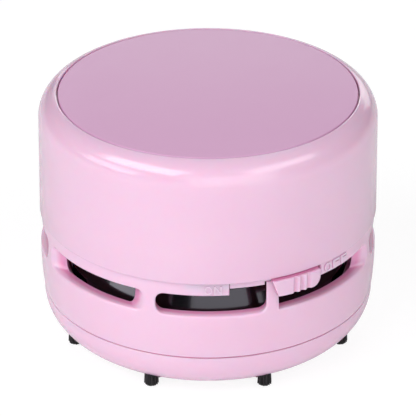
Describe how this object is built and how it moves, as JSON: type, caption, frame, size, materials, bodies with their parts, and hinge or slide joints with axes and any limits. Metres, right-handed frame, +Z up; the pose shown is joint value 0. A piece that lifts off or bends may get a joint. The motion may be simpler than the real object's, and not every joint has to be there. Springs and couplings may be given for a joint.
{
  "type": "desktop mini vacuum cleaner",
  "caption": "Round battery desk vacuum: glossy pink housing with a satin top disc, exhaust windows round the waist, a slide switch, a lift-off dust tray and bristle tufts.",
  "frame": {"origin": "on the desk surface under the centre of the round body", "axes": "+Z up; -Y towards the front, where the ON mark is; +X to the right of someone facing the front"},
  "size_m": [0.084, 0.084, 0.0637],
  "materials": {
    "pink_gloss": "glossy moulded plastic, light pink",
    "pink_satin": "satin moulded plastic, mauve pink",
    "bristle": "black nylon bristles",
    "seal_rubber": "soft black rubber",
    "black_gloss": "glossy black plastic",
    "black_matte": "matt black plastic",
    "grey_plastic": "light grey plastic",
    "mesh_cloth": "fine woven filter mesh",
    "steel": "plated steel",
    "copper": "copper alloy",
    "magnet": "dark ferrite",
    "black_lead": "black insulated wire",
    "red_lead": "red insulated wire",
    "cell_jacket": "printed cell jacket, plain"
  },
  "bodies": {
    "dust_base": {"dust_tray": "pink_gloss", "outer_tufts": "bristle", "inner_tufts": "bristle"},
    "main_unit": {"lower_body": "pink_gloss", "seal_ring": "seal_rubber", "fan_housing": "black_gloss", "inlet_plate": "black_gloss", "filter_frame": "grey_plastic", "filter_mesh": "mesh_cloth", "motor_can": "steel", "motor_magnets": "magnet", "motor_end_cap": "grey_plastic", "motor_bushings": "copper", "motor_terminals": "copper", "battery_holder": "black_matte", "battery_cell_left": "cell_jacket", "battery_cell_right": "cell_jacket", "contact_springs": "steel", "contact_plates": "steel", "switch_blades": "copper", "chassis_screws": "steel", "lead_cell_to_motor": "black_lead", "lead_cell_to_switch": "red_lead", "lead_switch_to_motor": "red_lead"},
    "switch": {"switch_slider": "pink_gloss", "bridge_clip": "copper"},
    "fan": {"impeller": "grey_plastic", "motor_shaft": "steel", "armature_core": "steel", "commutator": "copper"},
    "cover": {"upper_housing": "pink_gloss", "top_plate": "pink_satin"}
  },
  "joints": [
    {"name": "body_lift", "type": "slide", "parent": "dust_base", "child": "main_unit", "axis": [0, 0, 1], "range_m": [0, 0.02]},
    {"name": "cover_lift", "type": "slide", "parent": "main_unit", "child": "cover", "axis": [0, 0, 1], "range_m": [0, 0.04]},
    {"name": "switch_slide", "type": "hinge", "parent": "main_unit", "child": "switch", "pos_m": [0, 0, 0.03235], "axis": [0, 0, 1], "range_deg": [-13.5, 0]},
    {"name": "fan_spin", "type": "hinge", "parent": "main_unit", "child": "fan", "pos_m": [0, 0, 0.03], "axis": [0, 0, 1], "continuous": true}
  ]
}
